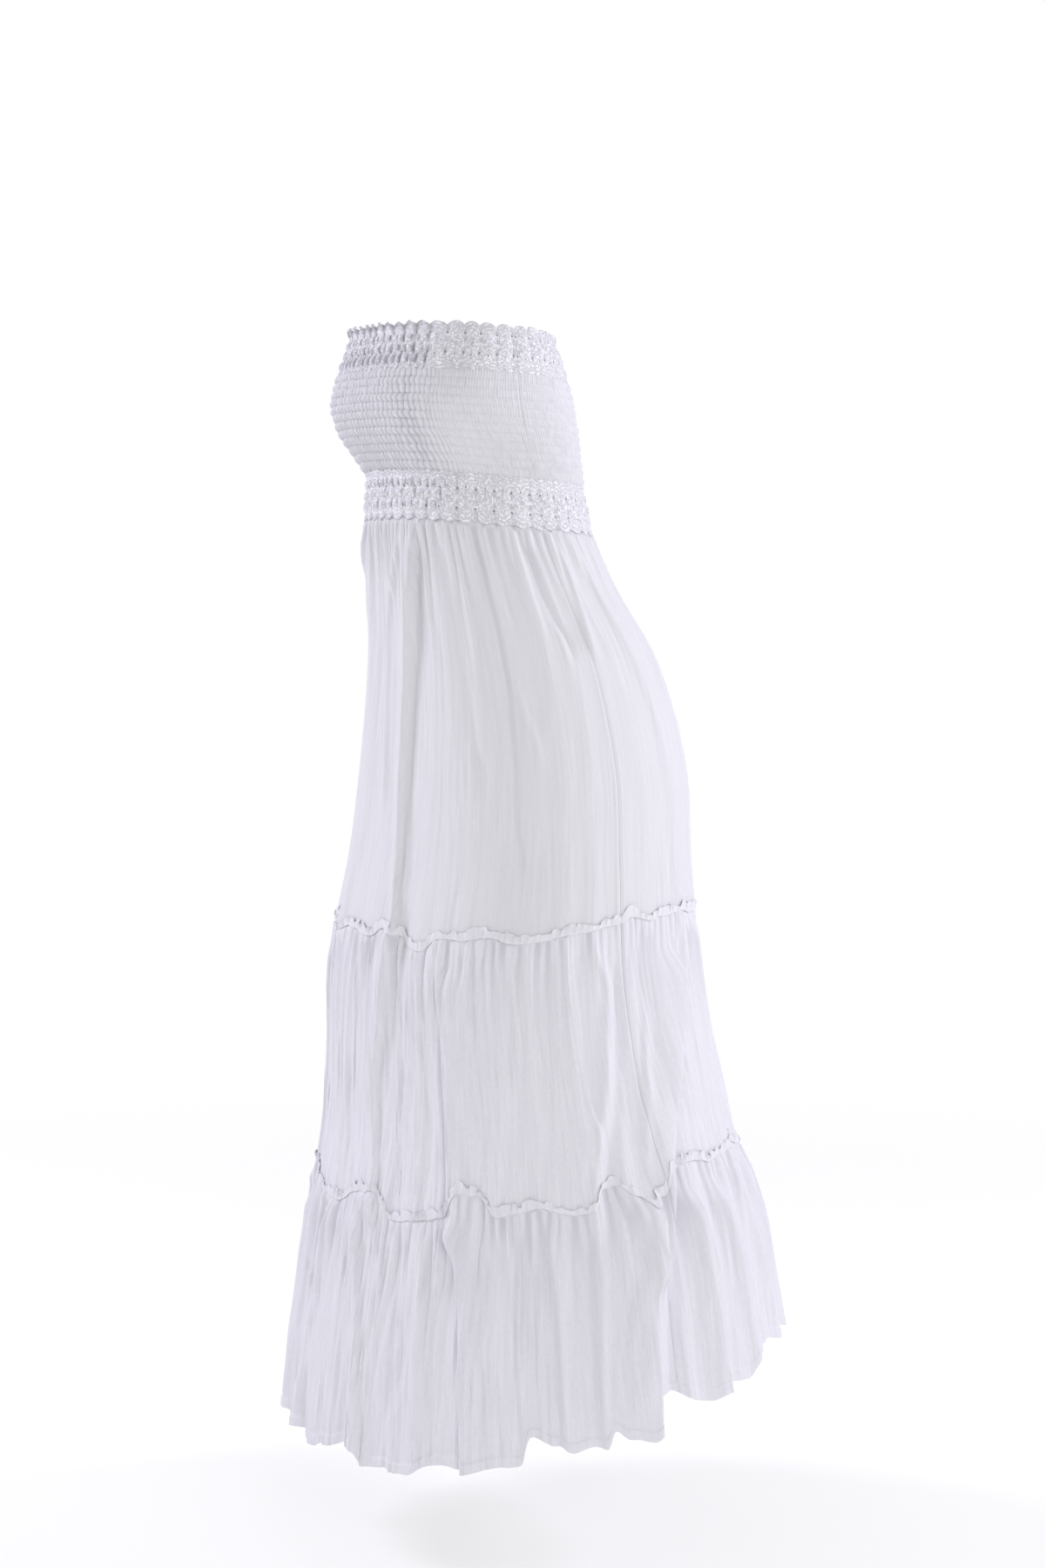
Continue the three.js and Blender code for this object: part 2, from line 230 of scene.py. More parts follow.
def level_at(level, turn):
    """The height of a seam or edge, which changes from the front to the sides and the back."""
    middle = (level.front + level.back) / 2
    tilt = (level.front - level.back) / 2
    places, rises = np.array(level.rises, float).T
    share = np.interp(turned(turn, 0), places, np.arange(len(places)))
    low = np.minimum(share.astype(int), len(places) - 2)
    rise = rises[low] + (rises[low + 1] - rises[low]) * smooth_step(share - low)
    return middle + tilt * np.cos(turn) + (level.side - middle) * np.sin(turn) ** 2 + rise


def form_point(turn, z):
    """x and y of the dress's smooth form at a turn from the front and a height."""
    power = 2 / np.where(np.cos(turn) > 0, column(SECTIONS, "square", z), BACK_SQUARE)
    front = column(SECTIONS, "front", z)
    back = column(SECTIONS, "back", z)
    aside, ahead = [np.sign(v) * np.abs(v) ** power for v in (np.sin(turn), np.cos(turn))]
    return column(SECTIONS, "half", z) * aside, (back - front) / 2 - (back + front) / 2 * ahead


def form_step(turn, z):
    """The level step along the form from a little before a turn to as much after, and its length."""
    x_after, y_after = form_point(turn + FORM_STEP, z)
    x_before, y_before = form_point(turn - FORM_STEP, z)
    return x_after - x_before, y_after - y_before, np.hypot(x_after - x_before, y_after - y_before)


def cloth_points(turn, z, out, along=0.0):
    """Points of cloth moved out from the smooth form, and along it, in metres."""
    x, y = form_point(turn, z)
    dx, dy, run = form_step(turn, z)
    tx, ty = dx / run, dy / run
    return np.stack([x + ty * out + tx * along, y - tx * out + ty * along, z + 0 * x], axis=-1) * MM


def even_turns(half, z, count):
    """Turns spaced evenly along the cloth of one half at a height, and its length there in mm."""
    start = HALVES[half] - math.pi / 2
    fine = np.linspace(start, start + math.pi, 721)
    fine[0] += HALVES_APART
    fine[-1] -= HALVES_APART
    x, y = form_point(fine, np.full_like(fine, z))
    length = np.concatenate([[0], np.cumsum(np.hypot(np.diff(x), np.diff(y)))])
    return np.interp(np.linspace(0, length[-1], count + 1), length, fine), length[-1]


def smooth_step(share):
    """A share kept within 0 and 1, and eased at both ends."""
    share = np.clip(share, 0, 1)
    return share * share * (3 - 2 * share)


def noise(rng, across, down):
    """Smooth noise from -1 to 1 on a grid, where one bend takes 1 across or down."""
    across, down = np.broadcast_arrays(across - np.min(across), down - np.min(down))
    values = rng.uniform(-1, 1, (int(np.max(down)) + 2, int(np.max(across)) + 2))
    i, j = down.astype(int), across.astype(int)
    s, t = smooth_step(down - i), smooth_step(across - j)
    upper = values[i, j] * (1 - t) + values[i, j + 1] * t
    lower = values[i + 1, j] * (1 - t) + values[i + 1, j + 1] * t
    return upper * (1 - s) + lower * s


CREASE_ANGLE = math.radians(72)
# The level of plain cloth, which gets no painted shade.
NO_PAINTED_SHADE = 0.7


def wall_object(name, outer, inner, uv_outer, uv_inner, material, step=1, relief_and_painted_shade=None):
    """A closed thin wall from an outer and an inner grid of points, where the inner one holds
    every step-th row of the outer one. The values given per point, from 0 deep in a fold to 1 on top,
    set its painted shade: the lower, the darker the cloth is painted."""
    rows, columns = outer.shape[:2]
    low_rows = inner.shape[0]
    top = np.arange(rows * columns).reshape(rows, columns)
    under = np.arange(low_rows * columns).reshape(low_rows, columns) + rows * columns
    face = np.stack([top[:-1, :-1], top[1:, :-1], top[1:, 1:], top[:-1, 1:]], axis=-1)
    back = np.stack([under[:-1, :-1], under[:-1, 1:], under[1:, 1:], under[1:, :-1]], axis=-1)
    upper_edge = np.stack([top[0, :-1], top[0, 1:], under[0, 1:], under[0, :-1]], axis=-1)
    lower_edge = np.stack([top[-1, :-1], under[-1, :-1], under[-1, 1:], top[-1, 1:]], axis=-1)
    faces = np.concatenate([face.reshape(-1, 4), back.reshape(-1, 4), upper_edge, lower_edge]).tolist()
    for end, side in ((0, 1), (columns - 1, -1)):
        for j in range(low_rows - 1):
            ring = [top[k, end] for k in range(j * step, (j + 1) * step + 1)]
            loop = [under[j, end], under[j + 1, end], *ring[::-1]]
            faces.append([int(k) for k in loop[::side]])
    mesh = bpy.data.meshes.new(name)
    mesh.from_pydata(np.concatenate([outer.reshape(-1, 3), inner.reshape(-1, 3)]).tolist(), [], faces)
    layer = mesh.uv_layers.new(name="cloth")
    flat = np.concatenate([uv_outer.reshape(-1, 2), uv_inner.reshape(-1, 2)])
    corners = np.zeros(len(mesh.loops), dtype=np.int32)
    mesh.loops.foreach_get("vertex_index", corners)
    layer.data.foreach_set("uv", flat[corners].astype(np.float32).ravel())
    # Painted shade: each point's level is stored for the material, which paints the cloth darker where it
    # is low.
    painted_shade_attribute = mesh.attributes.new("relief_and_painted_shade", "FLOAT", "POINT")
    painted_light_level = np.full(outer[..., 0].size + inner[..., 0].size, NO_PAINTED_SHADE, np.float32)
    if relief_and_painted_shade is not None:
        painted_light_level[:relief_and_painted_shade.size] = np.clip(relief_and_painted_shade, 0, 1).ravel()
    painted_shade_attribute.data.foreach_set("value", painted_light_level)
    mesh.shade_smooth()
    mesh.set_sharp_from_angle(angle=CREASE_ANGLE)
    mesh.materials.append(material)
    made = bpy.data.objects.new(name, mesh)
    scene.collection.objects.link(made)
    return made


# Cotton gauze, loosely woven and crinkled in the wash: matt, soft white with a cool cast, in fine
# upright crinkles over a faint open weave. The crinkles' hollows are painted darker, partly as uneven
# thread density and partly as painted shade. It lets a little light through.
# Its threads lie about 0.5 mm apart, and are drawn 2.5 mm apart so that they show: a wave texture
# repeats every 2 pi / 20 at a scale of 1.
THREAD_DRAWN = 2.5
WAVE_PERIOD = 2 * math.pi / 20
CRINKLE_STRETCH = 20
CREPE_WIDTH = 1.7
CREPE_LENGTH = 6.0
CREPE_SHARE = 0.35
WEAVE_SHARE = 0.07
CALM_PATCH = 62.5
# The colour of the painted shade in the deepest folds and hollows.
PAINTED_FOLD_SHADE = "#b3b1bb"
LET_THROUGH = 0.25


def gauze(name, crinkle_mm, crinkle_depth, hollow_shade, crest_light):
    """Gauze whose crinkles are some mm wide and deep, tinted from one colour in their hollows, partly
    painted shade, to another on top, with painted shade where a point's level is low.
    """
    material, tree = new_material(name)
    cloth = add_node(tree, "ShaderNodeUVMap", uv_map="cloth").outputs[0]
    stretch = add_node(tree, "ShaderNodeMapping", {0: cloth})
    stretch.inputs["Scale"].default_value = (1 / (crinkle_mm * MM),
                                             1 / (CRINKLE_STRETCH * crinkle_mm * MM), 1)
    crinkle = add_node(tree, "ShaderNodeTexNoise", {"Vector": stretch.outputs[0], "Scale": 1.0,
                                                    "Detail": 3.0, "Roughness": 0.6, "Distortion": 0.35})
    broad = add_node(tree, "ShaderNodeTexNoise", {"Vector": cloth, "Scale": 1 / (CALM_PATCH * MM),
                                                  "Detail": 1.0})
    calm = add_node(tree, "ShaderNodeMapRange", {0: broad.outputs["Fac"], 1: 0.38, 2: 0.64, 3: 0.35})
    crinkle = add_node(tree, "ShaderNodeMix", {0: calm.outputs[0], 2: 0.5, 3: crinkle.outputs["Fac"]})
    fine = add_node(tree, "ShaderNodeMapping", {0: cloth})
    fine.inputs["Scale"].default_value = (1 / (CREPE_WIDTH * MM), 1 / (CREPE_LENGTH * MM), 1)
    crepe = add_node(tree, "ShaderNodeTexNoise", {"Vector": fine.outputs[0], "Scale": 1.0, "Detail": 2.0})
    threads = {"Vector": cloth, "Scale": WAVE_PERIOD / (THREAD_DRAWN * MM), "Distortion": 0.6}
    warp = add_node(tree, "ShaderNodeTexWave", threads, bands_direction="X")
    weft = add_node(tree, "ShaderNodeTexWave", threads, bands_direction="Y")
    weave = add_node(tree, "ShaderNodeMath", {0: warp.outputs["Fac"], 1: weft.outputs["Fac"]},
                     operation="MAXIMUM")
    height = add_node(tree, "ShaderNodeMath", {0: crepe.outputs["Fac"], 1: CREPE_SHARE,
                                               2: crinkle.outputs[0]}, operation="MULTIPLY_ADD")
    height = add_node(tree, "ShaderNodeMath", {0: weave.outputs[0], 1: WEAVE_SHARE,
                                               2: height.outputs[0]}, operation="MULTIPLY_ADD")
    bump = add_node(tree, "ShaderNodeBump", {"Strength": 1.0, "Distance": crinkle_depth * MM,
                                             "Height": height.outputs[0]})
    # Painted shade, partly: the crinkles' hollows are tinted darker, standing in for their shade as well
    # as for denser threads.
    shade = add_node(tree, "ShaderNodeMapRange", {0: height.outputs[0], 1: 0.42, 2: 1.0})
    tint = add_node(tree, "ShaderNodeMix", {0: shade.outputs[0], 6: linear(hollow_shade), 7: linear(crest_light)},
                    data_type="RGBA")
    # Painted shade: where a point's level is below 0.6, the cloth is painted darker towards the fold
    # shade colour.
    painted_shade_attribute = add_node(tree, "ShaderNodeAttribute", attribute_name="relief_and_painted_shade").outputs["Fac"]
    deep = add_node(tree, "ShaderNodeMapRange", {0: painted_shade_attribute, 2: 0.6})
    tint = add_node(tree, "ShaderNodeMix", {0: deep.outputs[0], 6: linear(PAINTED_FOLD_SHADE),
                                            7: tint.outputs[2]}, data_type="RGBA")
    rough = add_node(tree, "ShaderNodeMapRange", {0: crepe.outputs["Fac"], 3: 0.86, 4: 0.97})
    skin = add_node(tree, "ShaderNodeBsdfPrincipled", {"Base Color": tint.outputs[2],
                                                       "Roughness": rough.outputs[0],
                                                       "Normal": bump.outputs[0]})
    skin.inputs["Specular IOR Level"].default_value = 0.25
    skin.inputs["Sheen Weight"].default_value = 0.08
    skin.inputs["Sheen Roughness"].default_value = 0.5
    glow = add_node(tree, "ShaderNodeBsdfTranslucent", {"Color": tint.outputs[2],
                                                        "Normal": bump.outputs[0]})
    mixed = add_node(tree, "ShaderNodeMixShader", {0: LET_THROUGH, 1: skin.outputs[0],
                                                   2: glow.outputs[0]})
    add_node(tree, "ShaderNodeOutputMaterial", {"Surface": mixed.outputs[0]})
    return material


# Gauze drawn up on elastic: fine tight crepe, painted a little greyer than where the cloth hangs free,
# as painted shade of its close puffs.
smocked_gauze = gauze("cotton_gauze_smocked", 1.5, 0.25, "#dad9de", "#e9e8ed")
for half in HALVES:
    rng = np.random.default_rng(SMOCK_SEED + (half == "back"))
    turns, length = even_turns(half, 0.0, SMOCK_COLUMNS)
    run = np.linspace(0, length, SMOCK_COLUMNS + 1)
    frontness = smooth_step((np.abs(np.cos(turns)) - 0.55) / 0.38)
    pitch = GATHER_SIDE + (GATHER_FRONT - GATHER_SIDE) * frontness
    gathers = np.concatenate([[0], np.cumsum(np.diff(run) / pitch[1:])])
    top_edge = level_at(TOP, turns)
    waist_edge = level_at(WAIST, turns) + SEAM_GAP / 2
    upper = top_edge - TOP_LACE
    top_edge = top_edge - TOP_INSET
    lower = waist_edge + WAIST_LACE
    aside = np.abs(turned(turns, 0))
    beside = np.exp(-((aside - BUST_HOLLOW_TURN) / BUST_HOLLOW_WIDTH) ** 2)
    heights = [top_edge + (upper - top_edge) * share for share in (0, 0.3, 0.6, 0.92)]
    lifts = [0 * run] * 4
    painted_light_level = [NO_PAINTED_SHADE + 0 * run] * 4
    sway = [noise(rng, run / 12, 0 * run) for _ in range(SMOCK_ROWS + 1)]
    strength = rng.uniform(0.5, 1.0, (SMOCK_ROWS + 1, int(gathers[-1]) + 3))
    for i in range(SMOCK_SAMPLES + 1):
        row = min(i // SMOCK_ROW_SAMPLES, SMOCK_ROWS - 1)
        within = i / SMOCK_ROW_SAMPLES - row
        phase = gathers + SMOCK_SWAY * (sway[row] * (1 - within) + sway[row + 1] * within)
        stagger = SMOCK_STAGGER * math.sin(math.pi * within)
        phase = phase + stagger * (1 if row % 2 else -1) * frontness
        fold = np.abs(np.cos(math.pi * phase)) ** 0.8 * strength[row, np.round(phase).astype(int) + 1]
        puff = math.sin(math.pi * within) ** 0.7 if 0 < within < 1 else 0.0
        heights.append(upper + (lower - upper) * i / SMOCK_SAMPLES)
        lift = 0.2 + 0.5 * puff + fold * (0.9 + 0.9 * frontness + puff * (0.5 + 2.1 * frontness))
        sunk = smooth_step(min(i, SMOCK_SAMPLES - i) / 14)
        # Painted shade: the cloth is painted darker between the upright folds, more across the front, at
        # each elastic row and in the bust hollow.
        crest_light = 0.74 - (0.18 + 0.18 * frontness) * (1 - fold * 1.25)
        painted_light_level.append(crest_light - 0.16 * (1 - puff) - 0.1 * sunk * beside)
        ends = smooth_step(np.minimum(run, length - run) / 2.5)
        lifts.append(0.9 + (lift - 0.9) * ends - BUST_HOLLOW_DEPTH * beside * sunk)
    for share in (0.05, 0.15, 0.3, 0.45, 0.6, 0.8, 1):
        heights.append(lower + (waist_edge - lower) * share)
        lifts.append(0 * run)
        painted_light_level.append(NO_PAINTED_SHADE + 0 * run)
    while (len(heights) - 1) % BODICE_INNER_STEP:
        heights.append(heights[-1] - 0.02)
        lifts.append(0 * run)
        painted_light_level.append(NO_PAINTED_SHADE + 0 * run)
    heights, lifts, painted_light_level = np.array(heights), np.array(lifts), np.array(painted_light_level)
    grid = np.broadcast_to(turns, heights.shape)
    step = BODICE_INNER_STEP
    outer = cloth_points(grid, heights, lifts)
    inner = cloth_points(grid[::step], heights[::step], -BODICE_WALL + 0 * lifts[::step])
    uv = np.stack([np.broadcast_to(run, heights.shape), heights], axis=-1) * MM
    name = f"smocked_bodice_{half}"
    piece = wall_object(name, outer, inner, uv, uv[::step], smocked_gauze, step, painted_light_level)
    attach(piece, "root")
    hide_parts(f"bodice_{half}")


# The lace: two bands of machine-made cotton lace, each with a scalloped edge of shells, a row of
# round rosettes, eyelets and a narrow wavy edge. They are sewn over the bodice's upper edge and
# over the waist seam. The elastic draws them into rows of tight zigzag puffs across the front.
LACE_COLUMNS = 420
LACE_ROWS = 44
LACE_INNER_STEP = 4
LACE_THICKNESS = 0.9
LACE_REPEAT = 18.5
SHELL_DEPTH = 14.0
ROSETTE_MIDDLE = 24.0
ROSETTE_RADIUS = 8.5
LOWER_DEPTH = 36.0
LACE_OVERHANG = 3.2


# Cotton lace: matt white thread in rings, shells and knots, with eyelets between them, painted
# dark as the shade seen through their holes. Its low places are painted darker as shade. The rings
# are drawn 4 mm apart, about twice the real ones, so that they show.
LACE_RING = 4.0
LACE_BUMP = 0.34
RING_WANDER = 8.0
BENDS_PER_MM = 0.45
KNOTS_PER_MM = 0.42
KNOT_DEPTH = 1.6
EYELET_DEPTH = 1.2
PETALS = 6
PETAL_HEIGHT = 0.6
Eyelet = collections.namedtuple("Eyelet", "share depth radius")
EYELETS = [
    Eyelet(0.0, SHELL_DEPTH - 1, 1.5),
    Eyelet(0.0, LOWER_DEPTH - 3, 1.6),
    Eyelet(0.5, LOWER_DEPTH - 1, 1.1),
]


def lace_material():
    """Lace on a plane of its own, in repeats across and in mm down from its scalloped edge."""
    material, tree = new_material("cotton_lace")
    cloth = add_node(tree, "ShaderNodeUVMap", uv_map="cloth").outputs[0]
    parts = add_node(tree, "ShaderNodeSeparateXYZ", {0: cloth}).outputs
    spread = add_node(tree, "ShaderNodeVectorMath", {0: cloth, 1: (LACE_REPEAT, 1, 1)},
                      operation="MULTIPLY").outputs[0]
    uneven = add_node(tree, "ShaderNodeTexNoise", {"Vector": spread, "Scale": BENDS_PER_MM,
                                                   "Detail": 1.0})
    knots = add_node(tree, "ShaderNodeTexVoronoi", {"Vector": spread, "Scale": KNOTS_PER_MM})

    def from_spot(share, depth):
        """The distance in mm from the middle of a motif in the nearest repeat, and the way there."""
        shifted = add_node(tree, "ShaderNodeMath", {0: parts[0], 1: 0.5 - share}, operation="ADD")
        within = add_node(tree, "ShaderNodeMath", {0: shifted.outputs[0]}, operation="FRACT")
        across = add_node(tree, "ShaderNodeMath", {0: within.outputs[0], 1: LACE_REPEAT,
                                                   2: -LACE_REPEAT / 2}, operation="MULTIPLY_ADD")
        down = add_node(tree, "ShaderNodeMath", {0: parts[1], 1: depth}, operation="SUBTRACT")
        place = add_node(tree, "ShaderNodeCombineXYZ", {0: across.outputs[0], 1: down.outputs[0]})
        away = add_node(tree, "ShaderNodeVectorMath", {0: place.outputs[0]}, operation="LENGTH")
        return away.outputs["Value"], place.outputs[0]

    def rings(distance):
        """Rows of thread round a motif, from -1 between them to 1 on them."""
        wavy = add_node(tree, "ShaderNodeMath", {0: uneven.outputs["Fac"], 1: RING_WANDER, 2: distance},
                        operation="MULTIPLY_ADD")
        turns = add_node(tree, "ShaderNodeMath", {0: wavy.outputs[0], 1: 2 * math.pi / LACE_RING},
                         operation="MULTIPLY")
        return add_node(tree, "ShaderNodeMath", {0: turns.outputs[0]}, operation="COSINE").outputs[0]

    rosette, flower = from_spot(0.5, ROSETTE_MIDDLE)
    shell, _ = from_spot(0.5, SHELL_DEPTH)
    small, _ = from_spot(0.0, LOWER_DEPTH - 3)
    petals = add_node(tree, "ShaderNodeSeparateXYZ", {0: flower}).outputs
    petals = add_node(tree, "ShaderNodeMath", {0: petals[1], 1: petals[0]}, operation="ARCTAN2")
    petals = add_node(tree, "ShaderNodeMath", {0: petals.outputs[0], 1: PETALS}, operation="MULTIPLY")
    petals = add_node(tree, "ShaderNodeMath", {0: petals.outputs[0]}, operation="COSINE")
    flower = add_node(tree, "ShaderNodeMath", {0: petals.outputs[0], 1: PETAL_HEIGHT,
                                               2: rings(rosette)}, operation="MULTIPLY_ADD")
    below = add_node(tree, "ShaderNodeMapRange", {0: parts[1], 1: SHELL_DEPTH, 2: SHELL_DEPTH + 1.5},
                     interpolation_type="SMOOTHSTEP")
    lower = add_node(tree, "ShaderNodeMapRange", {0: parts[1], 1: LOWER_DEPTH - 3, 2: LOWER_DEPTH - 1},
                     interpolation_type="SMOOTHSTEP")
    middle = add_node(tree, "ShaderNodeMix", {0: below.outputs[0], 2: rings(shell), 3: flower.outputs[0]})
    threads = add_node(tree, "ShaderNodeMix", {0: lower.outputs[0], 2: middle.outputs[0],
                                               3: rings(small)})
    height = add_node(tree, "ShaderNodeMath", {0: knots.outputs["Distance"], 1: -KNOT_DEPTH,
                                               2: threads.outputs[0]}, operation="MULTIPLY_ADD")
    eyelet = 1.0
    for share, depth, radius in EYELETS:
        away, _ = from_spot(share, depth)
        rim = add_node(tree, "ShaderNodeMapRange", {0: away, 1: 0.5 * radius, 2: radius},
                       interpolation_type="SMOOTHSTEP")
        eyelet = add_node(tree, "ShaderNodeMath", {0: eyelet, 1: rim.outputs[0]},
                          operation="MULTIPLY").outputs[0]
    height = add_node(tree, "ShaderNodeMath", {0: eyelet, 1: EYELET_DEPTH, 2: height.outputs[0]},
                      operation="MULTIPLY_ADD")
    bump = add_node(tree, "ShaderNodeBump", {"Strength": 1.0, "Distance": LACE_BUMP * MM,
                                             "Height": height.outputs[0]})
    shade = add_node(tree, "ShaderNodeMapRange", {0: height.outputs[0], 1: -0.6, 2: 1.7},
                     interpolation_type="SMOOTHSTEP")
    tint = add_node(tree, "ShaderNodeMix", {0: shade.outputs[0], 6: linear("#cccad2"),
                                            7: linear("#ebeaef")}, data_type="RGBA")
    # Painted shade: where a point's level is low, in the lace's dips and between its drawn-up puffs, it
    # is painted darker.
    painted_shade_attribute = add_node(tree, "ShaderNodeAttribute", attribute_name="relief_and_painted_shade").outputs["Fac"]
    deep = add_node(tree, "ShaderNodeMapRange", {0: painted_shade_attribute, 2: 0.7}, interpolation_type="SMOOTHSTEP")
    tint = add_node(tree, "ShaderNodeMix", {0: deep.outputs[0], 6: linear("#98969f"),
                                            7: tint.outputs[2]}, data_type="RGBA")
    # Painted shade: the eyelets are painted dark, as the shaded cloth seen through their holes.
    tint = add_node(tree, "ShaderNodeMix", {0: eyelet, 6: linear("#93919c"), 7: tint.outputs[2]},
                    data_type="RGBA")
    skin = add_node(tree, "ShaderNodeBsdfPrincipled", {"Base Color": tint.outputs[2], "Roughness": 0.85,
                                                       "Normal": bump.outputs[0]})
    skin.inputs["Specular IOR Level"].default_value = 0.3
    skin.inputs["Sheen Weight"].default_value = 0.08
    add_node(tree, "ShaderNodeOutputMaterial", {"Surface": skin.outputs[0]})
    return material


def spot(repeat, down, share, depth, radius):
    """A soft round spot of height 1 in each repeat of the lace."""
    across = ((repeat - share + 0.5) % 1 - 0.5) * LACE_REPEAT
    return smooth_step(1.3 - np.hypot(across, down - depth) / radius)


cotton_lace = lace_material()

# A band's columns are evenly spaced at the height even_at. Its scallop is the depth of the edge
# between two shells. Its lift is how far the free edge stands off: everywhere, with each flute, and
# where the front is drawn up. Its shade is how much painted shade darkens the drawn-up front. Each
# puff starts and stops at a distance from the scalloped edge. All but the shade are in mm.
Band = collections.namedtuple("Band", "name width edge even_at flip scallop lift shade seed puffs")
BANDS = [
    Band("top", TOP_LACE, TOP, 60.0, False, 4.2, (0.2, 0.8, 4.2), 0.2, 21,
         ((14, 23), (23, 33), (34, 45))),
    Band("waist", WAIST_LACE, WAIST, -80.0, True, 2.4, (0.3, 0.6, 0.5), 0.0, 31,
         ((9, 20), (20, 31), (32, 42))),
]
for band in BANDS:
    for half in HALVES:
        rng = np.random.default_rng(band.seed + (half == "back"))
        turns, length = even_turns(half, band.even_at, LACE_COLUMNS)
        run = np.linspace(0, length, LACE_COLUMNS + 1)
        drawn = smooth_step((np.abs(np.cos(turns)) - 0.62) / 0.25)
        repeat = run / LACE_REPEAT + 0.10 * noise(rng, run / 25, 0 * run)
        edge = level_at(band.edge, turns) + (SEAM_GAP / 2 if band.flip else 0)
        shares = np.linspace(0, 1, LACE_ROWS + 1)[:, None]
        from_edge = shares * band.width
        shell = np.abs(np.sin(math.pi * repeat))
        small = np.abs(np.sin(2 * math.pi * repeat))
        free = smooth_step(1 - from_edge / SHELL_DEPTH)
        far = smooth_step(1 - (band.width - from_edge) / 8)
        hang = band.scallop * (1 - shell ** 0.8)
        sink = free * (hang + 0.8 * (1 + noise(rng, run / 9, 0 * run)))
        z_down = from_edge + sink - far * (2.6 * (1 - small ** 0.7) + 1.2 * noise(rng, run / 7, 0 * run))
        z = edge + (z_down - LACE_OVERHANG * free * shell ** 0.8 if band.flip else -z_down)
        relief_and_painted_shade = 1.4 * spot(repeat, from_edge, 0.5, ROSETTE_MIDDLE, ROSETTE_RADIUS)
        relief_and_painted_shade = relief_and_painted_shade + 1.0 * spot(repeat, from_edge, 0.5, SHELL_DEPTH - 4, 7.0)
        relief_and_painted_shade = relief_and_painted_shade - 0.7 * spot(repeat, from_edge, 0.0, SHELL_DEPTH - 1, 2.4)
        relief_and_painted_shade = relief_and_painted_shade - 0.7 * spot(repeat, from_edge, 0.0, LOWER_DEPTH - 3, 2.6)
        relief_and_painted_shade = relief_and_painted_shade - 0.9 * np.exp(-((repeat % 1 - 0.5) ** 2 - 0.25) ** 2 / 0.004) * (1 - free)
        relief_and_painted_shade = relief_and_painted_shade + 0.5 * noise(rng, run / 3.2 + 0 * from_edge, from_edge / 3.2 + 0 * run)
        out = SEAM_GAP + LACE_THICKNESS * (1 - 0.5 * far) + relief_and_painted_shade * (1 - 0.3 * drawn)
        flute = 2 * math.pi * (repeat + 0.02 * (SHELL_DEPTH - from_edge))
        flute = 0.5 + 0.5 * np.cos(flute + 0.9 * np.sin(flute))
        # Painted shade: the lace is painted darker where its relief dips, across the drawn-up front by
        # its shade, and between the flutes there.
        painted_light_level = 0.75 + 0.2 * relief_and_painted_shade - band.shade * drawn - 0.3 * drawn * free * (1 - flute)
        everywhere, with_flute, where_drawn = band.lift
        out = out + free * (everywhere + (with_flute + where_drawn * drawn) * flute)
        for i, (start, stop) in enumerate(band.puffs):
            within = np.clip((from_edge - start) / (stop - start), 0, 1)
            phase = 1.6 * repeat + 0.5 * (i % 2) + 0.14 * noise(rng, run / 6, 0 * run)
            puff = np.abs(np.cos(math.pi * phase)) ** 1.1 * np.sin(math.pi * within) ** 0.6
            # Painted shade between the puffs of the drawn-up front.
            valley_shade = (1 - np.abs(np.cos(math.pi * phase))) * np.sin(math.pi * within) ** 0.3
            painted_light_level = painted_light_level - 0.55 * drawn * valley_shade
            out = out + (0.4 + 3.2 * drawn) * (0.8 + 0.25 * noise(rng, run / 10, 0 * run)) * puff
        out = out + far * (0.3 + 1.2 * drawn) * (0.5 + 0.5 * np.cos(4 * math.pi * repeat))
        out = np.maximum(out, SEAM_GAP + 0.5)
        grid = np.broadcast_to(turns, z.shape)
        outer = cloth_points(grid, z, out)
        behind = SEAM_GAP + 0 * out
        if not band.flip:
            behind = behind + free * np.maximum(out - LACE_THICKNESS - SEAM_GAP, 0)
        step = LACE_INNER_STEP
        inner = cloth_points(grid[::step], z[::step], behind[::step])
        uv = np.stack([np.broadcast_to(repeat, z.shape), from_edge + 0 * z], axis=-1)
        if band.flip:
            outer, inner, uv, painted_light_level = outer[::-1], inner[::-1], uv[::-1], painted_light_level[::-1]
        name = f"lace_band_{band.name}_{half}"
        piece = wall_object(name, outer, inner, uv, uv[::step], cotton_lace, step, painted_light_level)
        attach(piece, "root")
        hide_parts(f"lace_{band.name}_{half}")


# The skirt: three tiers of gauze, each a wide straight strip gathered into the one above it, and
# the first into the bodice. Their cloth hangs in small gathers below each seam, which run together
# into deep folds. The two side seams and the turned-up hem are stitched.
SEAM_ONE = Level(-535, -513, -505, (
    (-180, 0), (-160, 4), (-140, -4), (-118, 3), (-100, -4), (-80, 5), (-62, -6), (-50, 3), (-38, -8),
    (-26, 6), (-18, -6), (-11, 2), (-1, -3), (5, 9), (12, 2), (16, -8), (21, -11), (28, 3), (36, 0),
    (46, 2), (55, -7), (70, -6), (79, -3), (89, -1), (93, 6), (102, -1), (116, 1), (129, -5),
    (150, 4), (165, -3), (180, 0)))
SEAM_TWO = Level(-820, -774, -762, (
    (-180, 0), (-165, 8), (-150, -7), (-132, 9), (-115, -4), (-98, 12), (-88, -14), (-74, 8),
    (-58, -6), (-44, -9), (-36, 4), (-28, 3), (-20, -9), (-8, -7), (2, 13), (6, 18), (9, 5),
    (12, -9), (21, -7), (32, -1), (35, 22), (40, 20), (46, -4), (57, -2), (69, -16), (73, -13),
    (76, 5), (80, 5), (84, -8), (86, -21), (89, -12), (92, 11), (99, 10), (115, 1), (127, 10),
    (145, -6), (162, 7), (180, 0)))
